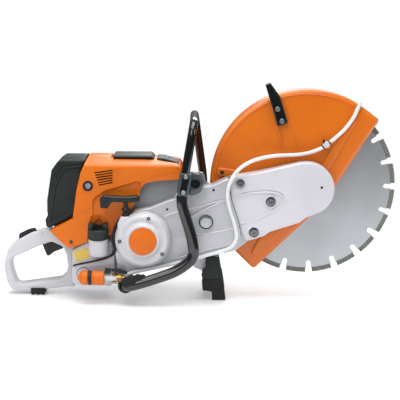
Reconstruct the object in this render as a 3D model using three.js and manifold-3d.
// Petrol cut-off saw for rescue work: engine, belt drive, cutting wheel, guard, handles and water kit.
// Millimetres, +X towards the wheel, +Z up, -Y the side with the starter and the belt covers.
import * as THREE from 'three';
import { mergeVertices } from 'three/addons/utils/BufferGeometryUtils.js';
import Module from 'manifold-3d';

const wasm = await Module();
wasm.setup();

// ---------------------------------------------------------------- driving dimensions
const GAP = 0.3;                         // clearance between pieces that touch
const WHEEL_R = 200;                     // 400 mm cutting wheel
const CORE_T = 3.2;
const SEGMENT_T = 4;
const SEGMENT_H = 9.5;
const SEGMENTS = 21;
const SLOT_DEPTH = 26;
const SLOT_W = 10;
const RIM_GAP = 15;
const SPINDLE_X = 358;                   // crank axis to spindle, along the machine
const SPINDLE_Z = 252;                   // spindle above the ground
const SPINDLE_R = 10;
const FLANGE_R = 51.5;
const FLANGE_T = 9;
const CRANK_Z = 141;                     // crank axis above the ground
const JOURNAL_R = 10;
const BORE_R = 28;
const STROKE = 40;
const ROD = 68;
const PULLEY_R = 48;                     // driven pulley, where the belt runs
const DRIVE_R = 23;                      // drive pulley, where the belt runs
const DRUM_R = 38;
const BELT_Y = -65;
const BELT_W = 16;
const BELT_T = 3.5;
const ARM_INNER = -38;
const ARM_T = 12;
const ARM_END_R = 57.5;
const FRONT_FACE = -85;                  // outer face of the front belt cover
const REAR_FACE = -95;                   // outer face of the rear belt cover
const DOME_R = 62;
const DOME_FACE = -125;
const BADGE_R = 30;
const COVER_WALL = 3;
const GUARD_CLEAR = 13;                  // rim of the wheel to the guard's outer face
const GUARD_NEAR = -26;
const GUARD_FAR = 30;
const GUARD_WALL = 2.5;
const HOUSING_R = 24;                    // bearing housing that carries the guard
const SHROUD_HALF = 85;
const SHROUD_WALL = 3;
const FILTER_HALF = 60;
const TANK_HALF = 75;
const TANK_WALL = 3;
const TANK_REAR = -157;
const TANK_FRONT = -68;
const GRIP_HALF = 22;                    // rear handle half width
const TUBE_Y = 130;
const TUBE_R = 9.5;
const TUBE_LOW_R = 12;
const FOOT_HALF = 66;
const HOSE_R = 4;
const ROPE_R = 2;
const ROPE_DRUM_R = 36;
const EDGE = 2.5;                        // rounding of the moulded casings' edges

// ---------------------------------------------------------------- values worked out from them
const GUARD_R = WHEEL_R + GUARD_CLEAR;
const ARM_OUTER = ARM_INNER - ARM_T;
const COVER_BACK = ARM_OUTER - GAP;
const PIN_Z = CRANK_Z - STROKE / 2;      // crankpin at the bottom of its stroke
const GUDGEON_Z = PIN_Z + ROD;
const CROWN_Z = GUDGEON_Z + 22;
const CASE_TOP = GUDGEON_Z - 13;
const BARREL_TOP = CROWN_Z + STROKE + 11;
const NEAR_FLANGE = -SEGMENT_T / 2 - GAP;
const SPINDLE_FRONT = SEGMENT_T / 2 + 6;
const ROPE_X = -ROPE_DRUM_R - ROPE_R;
const ROPE_Y = -101;

// ---------------------------------------------------------------- finishes: colour, roughness, metalness
const ORANGE = [0xdc6a0e, 0.45, 0];
const WHITE = [0xd8d7dc, 0.5, 0];
const CAST = [0xc3c4c8, 0.45, 0.3];
const DARK = [0x1f2828, 0.55, 0];
const BLACK = [0x15171a, 0.4, 0];
const BLUE = [0x2b5d8c, 0.4, 0];
const RUBBER = [0x1b1c1e, 0.85, 0];
const STEEL = [0xa9acb0, 0.35, 0.9];
const ALLOY = [0xb6b8ba, 0.5, 0.8];
const BRASS = [0xc69a4a, 0.35, 0.9];
const CLEAR_HOSE = [0xe4e8ea, 0.35, 0];

// ---------------------------------------------------------------- helpers
const saw = new THREE.Group();
const spindleEnd = new THREE.Group();
spindleEnd.position.set(SPINDLE_X, 0, SPINDLE_Z);
const crankEnd = new THREE.Group();
crankEnd.position.set(0, 0, CRANK_Z);
saw.add(spindleEnd, crankEnd);

function add(name, geometry, [color, roughness, metalness], parent = saw) {
  const mesh = new THREE.Mesh(geometry, new THREE.MeshStandardMaterial({ color, roughness, metalness }));
  mesh.name = name;
  parent.add(mesh);
}

// A closed geometry as a solid that can be joined and cut; flat triangles at a lathe's poles are dropped.
function toSolid(geometry) {
  const bare = geometry.clone();
  bare.deleteAttribute('normal');
  bare.deleteAttribute('uv');
  const merged = mergeVertices(bare, 1e-4);
  const index = merged.index.array;
  const kept = [];
  for (let i = 0; i < index.length; i += 3) {
    const [a, b, c] = [index[i], index[i + 1], index[i + 2]];
    if (a !== b && b !== c && a !== c) kept.push(a, b, c);
  }
  return new wasm.Manifold(new wasm.Mesh({
    numProp: 3, vertProperties: merged.attributes.position.array, triVerts: new Uint32Array(kept),
  }));
}

function toGeometry(solid) {
  const { vertProperties, triVerts } = solid.getMesh();
  const geometry = new THREE.BufferGeometry();
  geometry.setAttribute('position', new THREE.BufferAttribute(vertProperties, 3));
  geometry.setIndex(new THREE.BufferAttribute(triVerts, 1));
  geometry.computeVertexNormals();
  return geometry;
}

const join = (first, ...rest) => toGeometry(rest.reduce((sum, one) => sum.add(toSolid(one)), toSolid(first)));
const cut = (first, ...rest) => toGeometry(rest.reduce((left, one) => left.subtract(toSolid(one)), toSolid(first)));

function area(points) {
  return points.reduce((sum, [x, z], i) => {
    const [nextX, nextZ] = points[(i + 1) % points.length];
    return sum + (x * nextZ - nextX * z) / 2;
  }, 0);
}

// Points of an arc from angle a to angle b, in degrees from +X towards +Z.
function arc(x, z, radius, a, b, steps) {
  return Array.from({ length: steps + 1 }, (_, i) => {
    const angle = THREE.MathUtils.degToRad(a + (b - a) * i / steps);
    return [x + radius * Math.cos(angle), z + radius * Math.sin(angle)];
  });
}

// An outline from corners [x, z, radius], each corner rounded by a true arc.
function rounded(corners, steps = 4) {
  const points = [];
  corners.forEach(([x, z, radius = 0], i) => {
    const here = new THREE.Vector2(x, z);
    const [ax, az] = corners[(i + corners.length - 1) % corners.length];
    const [bx, bz] = corners[(i + 1) % corners.length];
    const back = new THREE.Vector2(ax - x, az - z);
    const ahead = new THREE.Vector2(bx - x, bz - z);
    const room = 0.49 * Math.min(back.length(), ahead.length());
    back.normalize();
    ahead.normalize();
    const half = Math.acos(THREE.MathUtils.clamp(back.dot(ahead), -1, 1)) / 2;
    if (radius < 0.5 || half > 1.5) {
      points.push([x, z]);
      return;
    }
    const reach = Math.min(radius / Math.tan(half), room);
    const centre = here.clone().addScaledVector(back.clone().add(ahead).normalize(), reach / Math.cos(half));
    const from = here.clone().addScaledVector(back, reach).sub(centre);
    const turn = Math.PI - 2 * half;
    const sign = Math.sign(ahead.cross(back));
    for (let k = 0; k <= steps; k += 1) {
      const spoke = from.clone().rotateAround(new THREE.Vector2(), sign * turn * k / steps);
      points.push([centre.x + spoke.x, centre.y + spoke.y]);
    }
  });
  return points;
}

// The same corners moved inwards by a wall's thickness.
function inset(corners, wall) {
  const side = Math.sign(area(corners));
  return corners.map(([x, z, radius = 0], i) => {
    const [ax, az] = corners[(i + corners.length - 1) % corners.length];
    const [bx, bz] = corners[(i + 1) % corners.length];
    const arrive = new THREE.Vector2(x - ax, z - az).normalize();
    const leave = new THREE.Vector2(bx - x, bz - z).normalize();
    const first = new THREE.Vector2(-arrive.y, arrive.x).multiplyScalar(side);
    const second = new THREE.Vector2(-leave.y, leave.x).multiplyScalar(side);
    const move = first.clone().add(second).multiplyScalar(wall / (1 + first.dot(second)));
    const bend = arrive.cross(leave) * side > 0 ? -wall : wall;
    return [x + move.x, z + move.y, Math.max(radius + bend, 0)];
  });
}

// A plate in the X-Z plane between two values of Y, with round-edged faces where bevel is set.
function plate(points, low, high, bevel = 0) {
  const shape = new THREE.Shape(points.map(([x, z]) => new THREE.Vector2(x, z)));
  const geometry = new THREE.ExtrudeGeometry(shape, {
    depth: high - low - 2 * bevel, bevelEnabled: bevel > 0, bevelSize: bevel,
    bevelThickness: bevel, bevelOffset: -bevel, bevelSegments: 1,
  });
  return geometry.translate(0, 0, bevel).rotateX(Math.PI / 2).translate(0, high, 0);
}

// A block between two corners.
function block(x0, x1, y0, y1, z0, z1) {
  return new THREE.BoxGeometry(x1 - x0, y1 - y0, z1 - z0)
    .translate((x0 + x1) / 2, (y0 + y1) / 2, (z0 + z1) / 2);
}

// A body turned about Y from a profile [radius, y] that starts and ends on the axis or closes on itself.
function turned(profile, sides = 16) {
  const points = area(profile) < 0 ? [...profile].reverse() : profile;
  return new THREE.LatheGeometry(points.map(([r, y]) => new THREE.Vector2(r, y)), sides);
}

const solidProfile = (radius, low, high) => [[0, low], [radius, low], [radius, high], [0, high]];
const ringProfile = (inner, outer, low, high) => (
  [[inner, low], [outer, low], [outer, high], [inner, high], [inner, low]]);
const rod = (radius, low, high, x = 0, z = 0, sides = 16) => (
  turned(solidProfile(radius, low, high), sides).translate(x, 0, z));
const ring = (inner, outer, low, high, sides = 16) => turned(ringProfile(inner, outer, low, high), sides);
const standing = (profile, x = 0, y = 0, sides = 16) => (
  turned(profile, sides).rotateX(Math.PI / 2).translate(x, y, 0));   // profile [radius, height]
const lengthways = (geometry) => geometry.rotateZ(-Math.PI / 2);

// Points [x, y, z, radius] of a bent tube's centreline, with a smooth bend at each inner point.
function bent(corners) {
  const points = [];
  corners.forEach(([x, y, z, radius = 0], i) => {
    const here = new THREE.Vector3(x, y, z);
    if (!radius || i === 0 || i === corners.length - 1) {
      points.push(here);
      return;
    }
    const back = new THREE.Vector3(...corners[i - 1].slice(0, 3)).sub(here);
    const ahead = new THREE.Vector3(...corners[i + 1].slice(0, 3)).sub(here);
    const reach = Math.min(radius, 0.48 * back.length(), 0.48 * ahead.length());
    const bend = new THREE.QuadraticBezierCurve3(
      here.clone().addScaledVector(back.normalize(), reach), here,
      here.clone().addScaledVector(ahead.normalize(), reach));
    points.push(...bend.getPoints(4));
  });
  return points;
}

function tube(points, radius, steps, sides = 10) {
  const section = new THREE.Shape(arc(0, 0, radius, 0, 360 - 360 / sides, sides - 1)
    .map(([x, z]) => new THREE.Vector2(x, z)));
  const extrudePath = new THREE.CatmullRomCurve3(points, false, 'centripetal');
  return new THREE.ExtrudeGeometry(section, { steps, extrudePath, bevelEnabled: false });
}

// Points given from the spindle, in the machine's frame.
const fromSpindle = (x, z, radius = 0) => [SPINDLE_X + x, SPINDLE_Z + z, radius];

// ---------------------------------------------------------------- crankcase, cylinder and piston
const CAVITY_R = 37;
const CASE_R = 46;
const LUG = [46, 125, 128, 172];         // arm lug of the crankcase: x from, x to, z from, z to

function crankcaseHalf(low, high, extra) {
  const outline = [...arc(0, CRANK_Z, CASE_R, 180, 360, 12), [CASE_R, CASE_TOP], [-CASE_R, CASE_TOP]];
  const body = plate(outline, low, high);
  const solid = extra ? join(body, extra) : body;
  return cut(
    solid,
    rod(CAVITY_R, Math.max(low, -21) - (low > -21 ? 5 : 0), Math.min(high, 21) + (high < 21 ? 5 : 0), 0, CRANK_Z),
    rod(JOURNAL_R + GAP, low - 5, high + 5, 0, CRANK_Z),
    standing(solidProfile(BORE_R + 0.5, CRANK_Z, CASE_TOP + 5)),
  );
}
add('crankcase_right', crankcaseHalf(-35, -GAP / 2,
  block(LUG[0] - 10, LUG[1], ARM_INNER + GAP, -22, LUG[2], LUG[3])), ALLOY);
add('crankcase_left', crankcaseHalf(GAP / 2, 45), ALLOY);

function barrelProfile() {
  const fins = 4;
  const low = CASE_TOP + 14;
  const pitch = (BARREL_TOP - low) / fins;
  const profile = [[BORE_R, CASE_TOP + GAP], [37, CASE_TOP + GAP], [37, CASE_TOP + 8], [34, CASE_TOP + 8]];
  for (let i = 0; i < fins; i += 1) {
    const base = low + pitch * i;
    profile.push([34, base], [45.5, base], [45.5, base + 3], [34, base + 3]);
  }
  profile.push([34, BARREL_TOP], [6 + GAP, BARREL_TOP], [6 + GAP, CROWN_Z + STROKE + 3],
    [BORE_R, CROWN_Z + STROKE + 3], [BORE_R, CASE_TOP + GAP]);
  return profile;
}
add('cylinder', standing(barrelProfile()), ALLOY);

add('piston', cut(
  standing([[0, CROWN_Z - 6], [23.5, CROWN_Z - 6], [23.5, GUDGEON_Z - 16], [BORE_R - GAP, GUDGEON_Z - 16],
    [BORE_R - GAP, CROWN_Z], [0, CROWN_Z]]),
  rod(6 + GAP, -40, 40, 0, GUDGEON_Z, 16),
), ALLOY);
add('gudgeon_pin', rod(6, -24, 24, 0, GUDGEON_Z, 16), STEEL);
add('connecting_rod', cut(
  join(rod(15, -6, 6, 0, PIN_Z), rod(10, -6, 6, 0, GUDGEON_Z), block(-6, 6, -4, 4, PIN_Z, GUDGEON_Z)),
  rod(9 + GAP, -9, 9, 0, PIN_Z),
  rod(6 + GAP, -9, 9, 0, GUDGEON_Z, 16),
), STEEL);
add('crankpin', rod(9, -8.6, 8.6, 0, PIN_Z), STEEL);

// ---------------------------------------------------------------- crankshaft, flywheel and fan
add('crank_half_right', turned([[0, -90], [JOURNAL_R, -90], [JOURNAL_R, -19], [34, -19], [34, -9], [0, -9]], 20),
  STEEL, crankEnd);
add('crank_half_left', turned([[0, 9], [34, 9], [34, 19], [JOURNAL_R, 19], [JOURNAL_R, 88], [0, 88]], 20),
  STEEL, crankEnd);

const FAN_R = 50;
function fan() {
  const disc = ring(JOURNAL_R + GAP, FAN_R, 52, 57);
  const hub = ring(JOURNAL_R + GAP, 18, 50, 78);
  const blades = Array.from({ length: 10 }, (_, i) => (
    block(24, FAN_R - 1, 56, 74, -1.2, 1.2).rotateY(i * Math.PI / 5)));
  return join(disc, hub, ...blades);
}
add('flywheel_fan', fan(), ALLOY, crankEnd);

const FAN_COVER_R = 59;
function fanCover() {
  const body = turned([[14, 95], [FAN_COVER_R - 12, 95], [FAN_COVER_R - 4, 90], [FAN_COVER_R - 4, 48],
    [FAN_COVER_R, 48], [FAN_COVER_R, 93], [FAN_COVER_R - 9, 99], [14, 99], [14, 95]], 20);
  const vents = Array.from({ length: 12 }, (_, i) => (
    block(20, 44, 93, 101, -3, 3).rotateY(i * Math.PI / 6)));
  return cut(body, ...vents);
}
add('fan_cover', fanCover(), DARK, crankEnd);

// ---------------------------------------------------------------- plug, muffler, carburettor and air filter
add('spark_plug', standing([[0, CROWN_Z + STROKE + 5], [6, CROWN_Z + STROKE + 5], [6, BARREL_TOP + GAP],
  [11, BARREL_TOP + GAP], [11, BARREL_TOP + 8], [6, BARREL_TOP + 10], [6, BARREL_TOP + 26],
  [11, BARREL_TOP + 28], [11, BARREL_TOP + 38], [0, BARREL_TOP + 38]], 0, 0, 12), BLACK);
const MUFFLER = [[50, 180, 6], [116, 180, 6], [116, 238, 6], [50, 238, 6]];
add('muffler', cut(
  plate(rounded(MUFFLER, 2), -28, 70, EDGE),
  plate(rounded(inset(MUFFLER, 2), 2), -26, 68),
  rod(8, 60, 80, 98, 196, 12),
), STEEL);
const SNOUT_Z = 216;
add('carburettor', join(
  lengthways(turned([[0, -162], [14, -162], [14, -98], [20, -98], [20, -46], [0, -46]], 16))
    .translate(0, 0, SNOUT_Z),
  block(-96, -56, -20, 20, SNOUT_Z - 22, SNOUT_Z + 16),
), ALLOY);
const ELEMENT = [[-199, 186, 8], [-163, 186, 8], [-163, 262, 8], [-199, 262, 8]];
add('air_filter', plate(rounded(ELEMENT, 3), -45, 45), WHITE);

// ---------------------------------------------------------------- engine shroud and filter cover
const SEAM = [[-137, 285], [-146, 246], [-155, 182]];  // joint between shroud and filter cover, top to bottom
const SHROUD_TOP = 316;
const CROWN_EDGE = 299;                  // height of the casings' top edges at the shroud's sides
const SHROUD = [
  [-123, SHROUD_TOP, 6], [-74, SHROUD_TOP, 3], [-72, 310, 3], [22, 309, 10], [78, 300, 10], [83, 288, 10],
  [75, 246, 4], [-7, 235, 10], [-18, 217, 6], [-67, 158, 4], [-73, 144.5, 3], [-118, 144.5, 4], [-124, 131, 5],
  [-161, 117, 6], [-173, 124.5, 6], [-205, 155.6, 3], ...[...SEAM].reverse().map(([x, z]) => [x, z, 3]),
];
const CAP_LEAN = 12;                     // the fuel filler leans outwards
const CAP_X = -98;
const CAP_Y = -96;
const CAP_Z = 152;
const CAP_R = 22;

// Puts a piece made about the vertical through the origin on the filler's leaning axis.
function onFiller(geometry) {
  return geometry.rotateX(THREE.MathUtils.degToRad(CAP_LEAN)).translate(CAP_X, CAP_Y, CAP_Z);
}

// Two wedges that slope the casings' tops down to their sides; lower moves them down for a hollow.
function crown(lower = 0) {
  return [-1, 1].map((side) => block(-240, 120, -60, 60, 0, 40)
    .rotateX(THREE.MathUtils.degToRad(-side * 14.6))
    .translate(0, side * SHROUD_HALF, CROWN_EDGE - lower));
}

function shroud() {
  const inner = SHROUD_HALF - SHROUD_WALL;
  const hollow = cut(plate(rounded(inset(SHROUD, SHROUD_WALL), 2), -inner, inner), ...crown(SHROUD_WALL));
  const vents = Array.from({ length: 7 }, (_, i) => {
    const z = 289 - i * 4.4;
    const slot = [[-107 + i * 1.6, z - 6], [-69, z], [-69, z + 2], [-107 + i * 1.6, z - 4]];
    return plate(slot, -SHROUD_HALF - 5, -SHROUD_HALF + 5);
  });
  return cut(
    plate(rounded(SHROUD, 2), -SHROUD_HALF, SHROUD_HALF, EDGE),
    ...crown(),
    hollow,
    hollow.clone().translate(0, 0, -9),
    onFiller(standing(solidProfile(CAP_R + 4, -30, 40), 0, 0, 24)),
    lengthways(turned(solidProfile(17, -180, -120), 16)).translate(0, 0, SNOUT_Z),
    standing(solidProfile(6 + 0.4, 290, 330), 48, 0, 12),
    ...vents,
  );
}
add('shroud', shroud(), ORANGE);
const PLUG_COVER = [[-69, 311], [21, 310], [17, SHROUD_TOP], [14, SHROUD_TOP + 2], [-67, SHROUD_TOP + 2],
  [-69, SHROUD_TOP]];
add('plug_cover', plate(PLUG_COVER, -45, 45, 0.6), BLACK);
add('decompression_button',
  standing([[0, 294], [8, 294], [8, 297], [6, 297], [6, 311], [0, 311]], 48, 0, 12), BLUE);

const FILTER = [
  [-126, SHROUD_TOP, 4], [-178, 312, 14], [-191, 303, 8], [-203, 286, 10], [-208, 253], [-213, 220],
  [-213, 185], [-218, 176], [-216, 162], [-209.4, 157], [-156, 183], [-147, 246], [-138, 285],
];
function filterCover() {
  const hollow = cut(plate(rounded(inset(FILTER, 2.5), 2), -FILTER_HALF + 2.5, FILTER_HALF - 2.5), ...crown(2.5));
  return cut(plate(rounded(FILTER, 2), -FILTER_HALF, FILTER_HALF, EDGE), ...crown(), hollow,
    hollow.clone().translate(8, 0, 0));
}
add('filter_cover', filterCover(), DARK);

// ---------------------------------------------------------------- tank housing and filler
const TANK_TOP = 133;
const RAIL_HALF = 45;
function tankHousing() {
  const box = rounded([[TANK_REAR, 33, 10], [TANK_FRONT, 33, 10], [TANK_FRONT, TANK_TOP, 6],
    [-120, TANK_TOP, 4], [TANK_REAR, 112, 8]], 3);
  const rail = rounded([[TANK_FRONT - 8, 67, 0], [0, 68, 10], [60, 80, 10], [105, 97, 6], [160, 97, 3],
    [160, 118, 4], [110, 118, 8], [52, 98, 10], [40, 90, 8], [TANK_FRONT - 8, 90, 0]], 2);
  const lug = block(TANK_FRONT - 6, -26, -TUBE_LOW_R - 34, -30, 30, 80);
  const neck = onFiller(standing(solidProfile(CAP_R - 2, -70, -9), 0, 0, 20));
  const body = join(plate(box, -TANK_HALF, TANK_HALF, EDGE), plate(rail, -RAIL_HALF, RAIL_HALF), lug, neck);
  const hollow = plate(inset([[TANK_REAR, 33], [TANK_FRONT, 33], [TANK_FRONT, TANK_TOP], [-120, TANK_TOP],
    [TANK_REAR, 112]], TANK_WALL + 2), -TANK_HALF + TANK_WALL, TANK_HALF - TANK_WALL);
  return cut(body, hollow, onFiller(standing(solidProfile(CAP_R - 6, -62, 5), 0, 0, 16)));
}
add('tank_housing', tankHousing(), WHITE);
add('fuel_cap', onFiller(join(
  standing([[0, -9 + GAP], [CAP_R - 5, -9 + GAP], [CAP_R - 2, -9 + GAP], [CAP_R, -6], [CAP_R, 7], [CAP_R - 3, 10],
    [0, 10]], 0, 0, 24),
  block(-17, -6, -4, 4, 8, 19),
  block(6, 17, -4, 4, 8, 19),
)), DARK);

// ---------------------------------------------------------------- rear handle with its controls
const HANDLE = [
  [-163, 113.5, 4], [-174, 120, 8], [-210, 149, 6], [-226, 147, 8], [-252, 140, 20], [-284, 123, 16],
  [-306, 105, 18], [-316, 66, 30], [-311, 33, 16], [-302, 12, 14], [-284, 6.5, 10], [-239, 6.5, 20],
  [-216, 12, 16], [-171, 18, 10], [TANK_REAR - GAP, 17, 3], [TANK_REAR - GAP, 108, 3],
];
const WINDOW = [
  [-299, 74, 8], [-293, 84, 8], [-271, 94, 12], [-231, 112, 8], [-208, 120, 14], [-184, 109, 8], [-175, 88, 12],
  [-173, 62, 8],
  [-176, 48, 8], [-188, 36, 10], [-228, 30.5, 14], [-280, 22.6, 8], [-288, 28, 6], [-296, 52, 14],
];
const TRIGGER = [[-190, 121, 4], [-184, 117, 4], [-184, 102, 3], [-203, 95, 10], [-216, 85, 3], [-221, 86, 3],
  [-231, 111, 5], [-226, 119, 5], [-208, 124, 8]];
const LOCKOUT = [[-284, 121, 2], [-283, 133, 4], [-262, 144, 10], [-246, 149, 4], [-245, 137, 2], [-262, 131, 4]];
const CONTROL_HALF = 7;
const STOP_SWITCH = [-232, 138];

function handleHalf(low, high, switchHole) {
  const room = CONTROL_HALF + 1;
  const pocket = (corners) => plate(corners, Math.max(low - 5, -room), Math.min(high + 5, room));
  const cutters = [
    plate(rounded(WINDOW, 2), low - 5, high + 5),
    pocket([[-238, 92], [-180, 92], [-180, 119], [-190, 126.5], [-214, 133], [-238, 129]]),
    pocket([[-288, 115], [-262, 123], [-243, 131], [-241, 155], [-290, 155]]),
  ];
  if (switchHole) cutters.push(rod(4.9, -30, -10, ...STOP_SWITCH, 12));
  return cut(plate(rounded(HANDLE, 2), low, high), ...cutters);
}
add('rear_handle_right', handleHalf(-GRIP_HALF, -GAP / 2, true), WHITE);
add('rear_handle_left', handleHalf(GAP / 2, GRIP_HALF, false), WHITE);
add('throttle_trigger', plate(rounded(TRIGGER, 2), -CONTROL_HALF, CONTROL_HALF, 1.5), BLACK);
add('throttle_lockout', plate(rounded(LOCKOUT, 2), -CONTROL_HALF, CONTROL_HALF, 1), BLACK);
add('stop_switch', rod(4.4, -25, -13.5, ...STOP_SWITCH, 12), BLACK);
add('choke_lever', join(
  rod(8, SHROUD_HALF + GAP, 92, -104, 196, 16),
  plate(rounded([[-108, 196, 1], [-100, 196, 1], [-96, 232, 4], [-106, 232, 4]], 2), 87, 92),
), BLACK);

const FOOT_REAR = [-256, -222];
const REAR_BOOT = [[FOOT_REAR[0], 0, 2], [FOOT_REAR[1], 0, 2], [FOOT_REAR[1], 15, 4], [FOOT_REAR[0], 15, 4]];
add('rear_foot', cut(
  plate(rounded(REAR_BOOT, 2), -GRIP_HALF - 3.5, GRIP_HALF + 3.5),
  block(FOOT_REAR[0] - 5, FOOT_REAR[1] + 5, -GRIP_HALF - GAP, GRIP_HALF + GAP, 6.2, 20),
), RUBBER);

// ---------------------------------------------------------------- front foot
function frontFoot() {
  const leg = [[137, 81], [146, 96.5], [165, 96.5], [169, 77], [178, 30], [181, 0, 3], [150, 0, 3], [150, 21, 2],
    [130, 21, 4], [125, 57, 4]];
  const bar = block(136, 166, -FOOT_HALF + 4, FOOT_HALF - 4, 78, 96.4);
  const boots = [-FOOT_HALF, FOOT_HALF - 12].map((low) => plate(rounded(leg, 2), low, low + 12));
  return join(bar, ...boots);
}
add('front_foot', frontFoot(), RUBBER);

// ---------------------------------------------------------------- front handle, bracket and anti-vibration mount
const TUBE_LOW = [
  [-38, -51, 41], [-38, -TUBE_Y, 41, 26], [15, -TUBE_Y, 56, 20], [76, -TUBE_Y, 78, 30], [112, -TUBE_Y, 108, 26],
  [107, -TUBE_Y, 148, 20], [84, -TUBE_Y, 222, 24], [84, -TUBE_Y, 240],
];
const TUBE_HIGH = [
  [84, -TUBE_Y, 238], [86, -TUBE_Y, 262, 20], [112, -TUBE_Y, 404, 34], [112, TUBE_Y, 404, 34],
  [131, TUBE_Y, 245, 20], [131, TUBE_Y, 108, 30], [131, RAIL_HALF + GAP, 108],
];
const PAD_X = 113;                       // anti-vibration mount between the bracket and the cast arm
const PAD_Z = 268;
const BRACKET_BACK = -110;
add('front_handle', join(tube(bent(TUBE_LOW), TUBE_LOW_R, 26, 8), tube(bent(TUBE_HIGH), TUBE_R, 36, 8)), BLACK);
add('handle_bracket', cut(
  join(
    plate(rounded([[72, 243, 3], [104, 241, 4], [128, 252, 12], [131, 280, 12], [102, 294, 4], [80, 289, 3]], 2),
      BRACKET_BACK - 8, BRACKET_BACK),
    block(73, 97, -TUBE_Y - TUBE_R - 3, BRACKET_BACK - 4, 246, 258),
    block(78, 102, -TUBE_Y - TUBE_R - 3, BRACKET_BACK - 4, 276, 288),
  ),
  tube(bent(TUBE_LOW), TUBE_LOW_R + 2 * GAP, 26, 8),
  tube(bent(TUBE_HIGH), TUBE_R + 2 * GAP, 36, 8),
), DARK);
add('av_mount', turned([[0, BRACKET_BACK + GAP], [14, BRACKET_BACK + GAP], [14, -104], [11, -98], [11, -68], [14, -60],
  [14, ARM_OUTER - GAP], [0, ARM_OUTER - GAP]], 20).translate(PAD_X, 0, PAD_Z), RUBBER);

// ---------------------------------------------------------------- cast arm and belt covers
// Joint of the two covers, from the top.
const SEAM_LINE = [[188, 278], [186, 251], [192, 225], [208, 176], [212, 158]];
const FRONT = [
  ...SEAM_LINE.map(([x, z]) => [x + 0.6, z, 6]), [222, 139, 6], [234, 138, 6], [264, 148, 6], [276, 157, 8],
  fromSpindle(-17, -74, 6), fromSpindle(-4, -63, 6),
  ...arc(SPINDLE_X, SPINDLE_Z, ARM_END_R, -62, 92, 10), fromSpindle(-18, 56, 0), fromSpindle(-104, 36.6, 20),
];
function armOutline() {
  const nose = FRONT.slice(SEAM_LINE.length);
  return [...nose, [186, 275, 6], [152, 257, 8], [136, 260, 5], [131, 283, 10], [98, 283, 8], [96, 250, 10], [48, 172, 4], [48, 128, 4],
    [125, 128, 6], [196, 142, 10]];
}
add('cast_arm', cut(
  join(plate(rounded(armOutline(), 2), ARM_OUTER, ARM_INNER),
    rod(HOUSING_R, ARM_OUTER + 2, -15, SPINDLE_X, SPINDLE_Z, 24)),
  rod(17.8, -60, -17, SPINDLE_X, SPINDLE_Z, 24),
  rod(14.5, -30, -10, SPINDLE_X, SPINDLE_Z, 24),
), ALLOY);

function openShell(corners, face, wall, side) {
  const hollow = plate(rounded(inset(corners, wall), 2), face + wall, COVER_BACK + 5);
  return cut(plate(rounded(corners, 2), face, COVER_BACK, 2), hollow, hollow.clone().translate(side, 0, 0));
}
const RECESSES = [[277, 224], [241, 156]];   // where the cover nuts sit
add('front_belt_cover', cut(
  openShell(FRONT, FRONT_FACE, COVER_WALL, -8),
  ...RECESSES.map(([x, z]) => rod(11.5, FRONT_FACE - 5, FRONT_FACE + 1.6, x, z, 16)),
), WHITE);

const REAR = [
  ...[...SEAM_LINE].reverse().map(([x, z]) => [x - 0.2, z, 6]), [149, 260, 12], [73, 246, 4], [67, 230, 4], [58, 228, 4],
  [14, 210, 8], [-18, 204, 6], [-66, 154, 6], [-64, 120, 4], [-54, 66, 6], [14, 71, 20], [58, 80, 20], [101, 91, 10],
  [123, 100, 10], [167, 111, 16], [190, 117, 8], [203, 129, 8], [209, 142, 6],
];
const HATCH_R = 46;                      // opening towards the starter
const NUT = [136, 180];
add('rear_belt_cover', cut(
  openShell(REAR, REAR_FACE, COVER_WALL, 8),
  rod(HATCH_R, REAR_FACE - 5, REAR_FACE + 8, 0, CRANK_Z, 24),
), CAST);
add('tensioner_nut', join(
  rod(14, REAR_FACE - 2.3, REAR_FACE - GAP, ...NUT, 20),
  rod(11.5, REAR_FACE - 9, REAR_FACE - 2, ...NUT, 6),
), STEEL);

// ---------------------------------------------------------------- clutch, belt, pulleys and spindle
const SHOE_TRAVEL = 1.2;                 // what the shoes move out before they grip
const SHOE_OUT = DRUM_R - 3 - SHOE_TRAVEL;
add('clutch_hub', join(ring(JOURNAL_R + GAP, 17, -52, -41, 20), cut(
  block(-22, 22, -51, -42, -4, 4), rod(JOURNAL_R + 2, -60, -30, 0, 0))), STEEL, crankEnd);
function shoe(a, b) {
  return plate([...arc(0, 0, SHOE_OUT, a, b, 10), ...arc(0, 0, 23, b, a, 8)], -52, -41);
}
add('clutch_shoe_upper', shoe(18, 162), STEEL, crankEnd);
add('clutch_shoe_lower', shoe(198, 342), STEEL, crankEnd);
add('clutch_drum', turned([[JOURNAL_R + GAP, BELT_Y - 10], [DRIVE_R + 3, BELT_Y - 10], [DRIVE_R + 3, BELT_Y - 8.5],
  [DRIVE_R, BELT_Y - 8.5], [DRIVE_R, BELT_Y + 8.5], [DRUM_R, BELT_Y + 8.5], [DRUM_R, -39], [DRUM_R - 2.5, -39],
  [DRUM_R - 2.5, -53.5], [JOURNAL_R + GAP, -53.5], [JOURNAL_R + GAP, BELT_Y - 10]], 20), STEEL, crankEnd);

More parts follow.
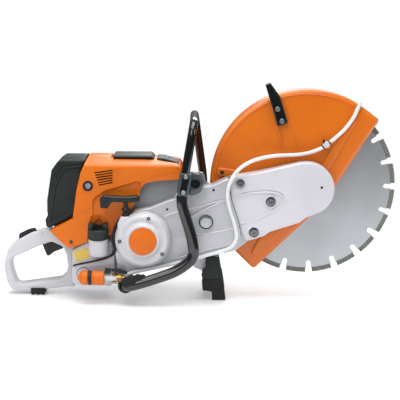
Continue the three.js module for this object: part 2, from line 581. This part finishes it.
// The belt's run, offset from the pulleys by a distance: two arcs joined by the outer tangents.
function beltLine(offset) {
  const across = new THREE.Vector2(SPINDLE_X, SPINDLE_Z - CRANK_Z);
  const lead = THREE.MathUtils.radToDeg(across.angle());
  const open = THREE.MathUtils.radToDeg(Math.acos((PULLEY_R - DRIVE_R) / across.length()));
  return [
    ...arc(SPINDLE_X, SPINDLE_Z, PULLEY_R + offset, lead - 180 + open, lead + 180 - open, 20),
    ...arc(0, CRANK_Z, DRIVE_R + offset, lead + 180 - open, lead + 180 + open, 12),
  ];
}
add('drive_belt', cut(
  plate(beltLine(GAP + BELT_T), BELT_Y - BELT_W / 2, BELT_Y + BELT_W / 2),
  plate(beltLine(GAP), BELT_Y - BELT_W, BELT_Y + BELT_W),
), RUBBER);
add('driven_pulley', turned([[SPINDLE_R + GAP, -76], [16, -76], [16, -70], [PULLEY_R - 8, -70], [PULLEY_R - 8, -75.5],
  [PULLEY_R, -75.5], [PULLEY_R, -55], [PULLEY_R - 8, -55], [PULLEY_R - 8, -62], [16, -62], [16, -53],
  [SPINDLE_R + GAP, -53], [SPINDLE_R + GAP, -76]], 20), ALLOY, spindleEnd);
add('spindle', turned([[0, -78], [SPINDLE_R, -78], [SPINDLE_R, SPINDLE_FRONT], [5 + GAP, SPINDLE_FRONT],
  [5 + GAP, -22], [0, -22]], 20), STEEL, spindleEnd);
add('spindle_bearing', ring(SPINDLE_R + GAP, 17.4, -49, -20, 24), STEEL, spindleEnd);

// ---------------------------------------------------------------- starter
const TOWER_TOP = CRANK_Z + DOME_R - 1;
function starterCover() {
  const dome = turned([[BADGE_R - 4, DOME_FACE + 4], [48, DOME_FACE + 11], [52, REAR_FACE - GAP], [DOME_R, REAR_FACE - GAP],
    [DOME_R, -104], [DOME_R - 5, -112], [48, -120], [BADGE_R + 4, DOME_FACE], [0, DOME_FACE], [0, DOME_FACE + 4],
    [BADGE_R - 4, DOME_FACE + 4]], 24).translate(0, 0, CRANK_Z);
  const tower = plate(rounded([[-56, 160, 2], [-54, 188, 8], [-47, TOWER_TOP, 3], [-29, TOWER_TOP, 3], [-16, 192, 8],
    [-10, 176, 2]], 2), -112, REAR_FACE - GAP, 2);
  const post = rod(5, DOME_FACE + 2, -97, 0, CRANK_Z, 12);
  return join(cut(
    join(dome, tower),
    standing(solidProfile(4.5, CRANK_Z, TOWER_TOP + 5), ROPE_X, ROPE_Y, 12),
    rod(51, -112.5, REAR_FACE + 2, 0, CRANK_Z, 20),
  ), post);
}
add('starter_cover', starterCover(), WHITE);
add('starter_rotor', turned([[5 + GAP, -107], [42, -107], [42, -103.6], [ROPE_DRUM_R, -103.6],
  [ROPE_DRUM_R, -98.4], [42, -98.4], [42, -95.8], [5 + GAP, -95.8], [5 + GAP, -107]], 16), BLACK, crankEnd);
const ROPE_FROM = CRANK_Z + 34;
const GRIP_LOW = TOWER_TOP + 4;
const line = (points) => points.map((point) => new THREE.Vector3(...point));
const ROPE_LINE = line([[ROPE_X, ROPE_Y, ROPE_FROM], [ROPE_X, ROPE_Y, GRIP_LOW - GAP]]);
add('starter_rope', tube(ROPE_LINE, ROPE_R, 6, 8), BLACK);
const GRIP_BAR = [[-92, 10, 5], [-90, 24, 6], [-38, 32, 20], [-8, 30, 5], [-6, 20, 5], [-38, 16, 10],
  [-80, 6, 5]].map(([x, z, radius]) => [x, GRIP_LOW + z, radius]);
add('starter_grip', join(
  standing([[0, GRIP_LOW], [7, GRIP_LOW], [9, GRIP_LOW + 20], [0, GRIP_LOW + 20]], ROPE_X, ROPE_Y, 12),
  plate(rounded(GRIP_BAR, 3), ROPE_Y - 11, ROPE_Y + 11, EDGE),
), BLACK);

// ---------------------------------------------------------------- wheel, flanges and bolt
function cuttingWheel() {
  const pitch = 360 / SEGMENTS;
  const coreR = WHEEL_R - SEGMENT_H;
  const rootR = WHEEL_R - SLOT_DEPTH;
  const gap = THREE.MathUtils.radToDeg(RIM_GAP / WHEEL_R) / 2;
  const outline = [];
  const segments = [];
  for (let i = 0; i < SEGMENTS; i += 1) {
    const slot = 31.5 + i * pitch;
    const side = THREE.MathUtils.radToDeg(SLOT_W / 2 / (rootR + SLOT_W / 2));
    const [cx, cz] = arc(0, 0, rootR + SLOT_W / 2, slot, slot, 1)[0];
    outline.push(...arc(cx, cz, SLOT_W / 2, slot + 270, slot + 90, 3));
    outline.push(...arc(0, 0, coreR, slot + side, slot + pitch - side, 2));
    segments.push(plate([...arc(0, 0, WHEEL_R, slot + gap, slot + pitch - gap, 2),
      ...arc(0, 0, coreR - 0.5, slot + pitch - gap, slot + gap, 2)], -SEGMENT_T / 2, SEGMENT_T / 2));
  }
  const core = plate(outline, -CORE_T / 2, CORE_T / 2);
  return cut(join(core, ...segments), rod(SPINDLE_R + GAP, -9, 9));
}
add('cutting_wheel', cuttingWheel(), STEEL, spindleEnd);
add('inner_flange', turned([[SPINDLE_R + GAP, -14.5], [14, -14.5], [14, NEAR_FLANGE - FLANGE_T],
  [FLANGE_R - 6, NEAR_FLANGE - FLANGE_T], [FLANGE_R, NEAR_FLANGE - 4], [FLANGE_R, NEAR_FLANGE],
  [SPINDLE_R + GAP, NEAR_FLANGE], [SPINDLE_R + GAP, -14.5]], 20), STEEL, spindleEnd);
const FAR_FLANGE = -NEAR_FLANGE;
add('outer_flange', turned([[SPINDLE_R + GAP, FAR_FLANGE], [FLANGE_R, FAR_FLANGE], [FLANGE_R, FAR_FLANGE + 4],
  [FLANGE_R - 6, FAR_FLANGE + FLANGE_T], [20, FAR_FLANGE + FLANGE_T + 2], [5 + GAP, FAR_FLANGE + FLANGE_T + 2],
  [5 + GAP, SPINDLE_FRONT + GAP], [SPINDLE_R + GAP, SPINDLE_FRONT + GAP], [SPINDLE_R + GAP, FAR_FLANGE]], 20),
STEEL, spindleEnd);
const BOLT_SEAT = FAR_FLANGE + FLANGE_T + 2 + GAP;
add('wheel_bolt', join(
  rod(15, BOLT_SEAT, BOLT_SEAT + 2.5, 0, 0, 20),
  rod(10.5, BOLT_SEAT + 2, BOLT_SEAT + 11, 0, 0, 6),
  rod(5, -18, BOLT_SEAT + 1, 0, 0, 16),
), STEEL, spindleEnd);

// ---------------------------------------------------------------- wheel guard and its lever
// Corners from the spindle: flat forehead, rim arc, flat tail, cut edge and the corner round the hub.
const onGuard = ([x, z, ...radius]) => [x * GUARD_R / 213, z * GUARD_R / 213, ...radius];
const GUARD = [
  [GUARD_R * 0.741, GUARD_R * 0.693], ...arc(0, 0, GUARD_R, 58, 218, 24),
  ...[[-157.8, -147.7, 6], [-114, -191, 6], [-96, -173, 4], [3, -77.5, 10], [41.6, -40.8, 24], [62.4, -7.8, 10],
    [146, 125.6, 6], [155, 139, 3]].map(onGuard),
];
// The open side of the hollow.
const SKIRT = [[190, 128], [30, -60], [-90, -180], [-130, -230], [240, -230], [260, 100]].map(onGuard);
function guard() {
  const cavity = inset(GUARD, GUARD_WALL);
  return cut(
    plate(rounded(GUARD, 2), GUARD_NEAR, GUARD_FAR, EDGE),
    plate(rounded(cavity, 2), GUARD_NEAR + GUARD_WALL, GUARD_FAR - GUARD_WALL),
    plate(rounded(cavity, 2), GUARD_NEAR + GUARD_WALL + 4, GUARD_FAR - GUARD_WALL - 4).translate(30, 0, -30),
    plate(SKIRT, GUARD_NEAR + 6, GUARD_FAR - 6),
    rod(HOUSING_R + 0.6, GUARD_NEAR - 5, 0, 0, 0, 28),
    plate([...arc(0, 0, 78, 0, 360 - 15, 23)], 5, GUARD_FAR + 5),
  );
}
add('wheel_guard', guard(), ORANGE, spindleEnd);
const GUARD_FACE = GUARD_NEAR - GAP;
const [RIM_X, RIM_Z] = onGuard([-66, 178]);   // the lever keeps its size and moves with the rim
const atRim = ([x, z, radius]) => [x + 66 + RIM_X, z - 178 + RIM_Z, radius];
add('guard_lever', join(
  plate(rounded([[-93, 225, 5], [-83, 229, 5], [-43, 139, 5], [-66, 129, 5]].map(atRim), 3),
    GUARD_FACE - 14, GUARD_FACE - 6, 2),
  plate(rounded([[-75, 177, 4], [-62, 183, 4], [-46, 142, 5], [-63, 134, 5]].map(atRim), 2),
    GUARD_FACE - 9, GUARD_FACE),
), BLACK, spindleEnd);

// ---------------------------------------------------------------- water kit
const TAP_Y = -112;
const TAP_Z = 58;
add('water_coupling', lengthways(turned([[0, -142], [5, -142], [5, -124], [9, -122], [16, -112], [16, -108], [15, -106],
  [15, -84], [0, -84]], 20)).translate(0, TAP_Y, TAP_Z), ORANGE);
add('tap_body', join(
  lengthways(turned([[0, -84 + GAP], [9, -84 + GAP], [9, -70], [12, -68], [12, -56], [0, -56]], 16))
    .translate(0, TAP_Y, TAP_Z),
  block(-80, -62, -104, -TANK_HALF - GAP, TAP_Z - 8, TAP_Z + 8),
  standing(solidProfile(6, TAP_Z, TAP_Z + 15), -62, TAP_Y, 12),
), BRASS);
add('tap_lever', join(
  standing(solidProfile(7, TAP_Z + 15 + GAP, TAP_Z + 20), -62, TAP_Y, 12),
  plate(rounded([[-62, 75, 1], [-34, 68, 3], [-34, 71.5, 1], [-58, 79, 1]], 2), TAP_Y - 5, TAP_Y + 5),
), BLACK);

const DOME_LOW = CRANK_Z - DOME_R;
const HOSE_FIXED = [                     // clipped along the lower and front edge of the covers
  [-54.6, TAP_Y, TAP_Z], [-44, TAP_Y + 2, 60], [-26, -104, DOME_LOW - 11], [14, -100, DOME_LOW - 3], [58, -100, DOME_LOW + 7], [101, -100, 96],
  [140, -100, 108], [172, -100, 117], [192, -100, 127], [202, -100, 146], [199, -100, 172], [188, -100, 206],
  [182, -100, 236], [184, -100, 258], [190, -98, 272],
];
const TEE = onGuard([41.5, 92.5]);         // the T-piece, from the spindle
const TEE_X = SPINDLE_X + TEE[0];
const TEE_Z = SPINDLE_Z + TEE[1];
const HOSE_EXIT = [190.3, -97.9, 272.6];
const HOSE_FREE = [                      // free span; between its ends: share of the way, side, rise over the chord
  HOSE_EXIT, [198, -95, 286],
  ...[[0.105, -90, 19.9], [0.2, -82, 24.1], [0.315, -73, 22.8], [0.449, -64, 17.2], [0.582, -57, 8.7],
    [0.716, -51, 0], [0.831, -45, -4.3]].map(([share, y, rise]) => [
    HOSE_EXIT[0] + (TEE_X - HOSE_EXIT[0]) * share, y, HOSE_EXIT[2] + (TEE_Z - HOSE_EXIT[2]) * share + rise]),
  [TEE_X - 17.4, -40, TEE_Z - 10.5], [TEE_X - 8.6, -37, TEE_Z - 6],
];
const HOSE_GUARD = [                     // from the T-piece along the guard to its rim
  [48, 97, -36], [62, 108, -34], [83, 128, -33], [100, 152, -33], [110, 174, -33], [115, 186, -31],
].map(([x, z, y]) => {
  const [outX, outZ] = onGuard([x, z]);
  return [SPINDLE_X + outX, y, SPINDLE_Z + outZ];
});
add('water_hose', tube(line(HOSE_FIXED), HOSE_R, 34, 8), CLEAR_HOSE);
add('guard_hose_span', tube(line(HOSE_FREE), HOSE_R, 16, 8), CLEAR_HOSE);
add('guard_hose', join(
  tube(line(HOSE_GUARD), HOSE_R, 10, 8),
  rod(7, -44, GUARD_FACE, TEE_X, TEE_Z, 12),
  turned(solidProfile(5.5, -7.5, 8), 10).rotateZ(THREE.MathUtils.degToRad(-55)).translate(TEE_X, -36, TEE_Z),
), WHITE);

// ---------------------------------------------------------------- the origin: middle of the footprint, on the ground
saw.updateMatrixWorld(true);
const bounds = new THREE.Box3().setFromObject(saw, true);
const centre = bounds.getCenter(new THREE.Vector3());
saw.position.set(-centre.x, -centre.y, -bounds.min.z);

export default saw;
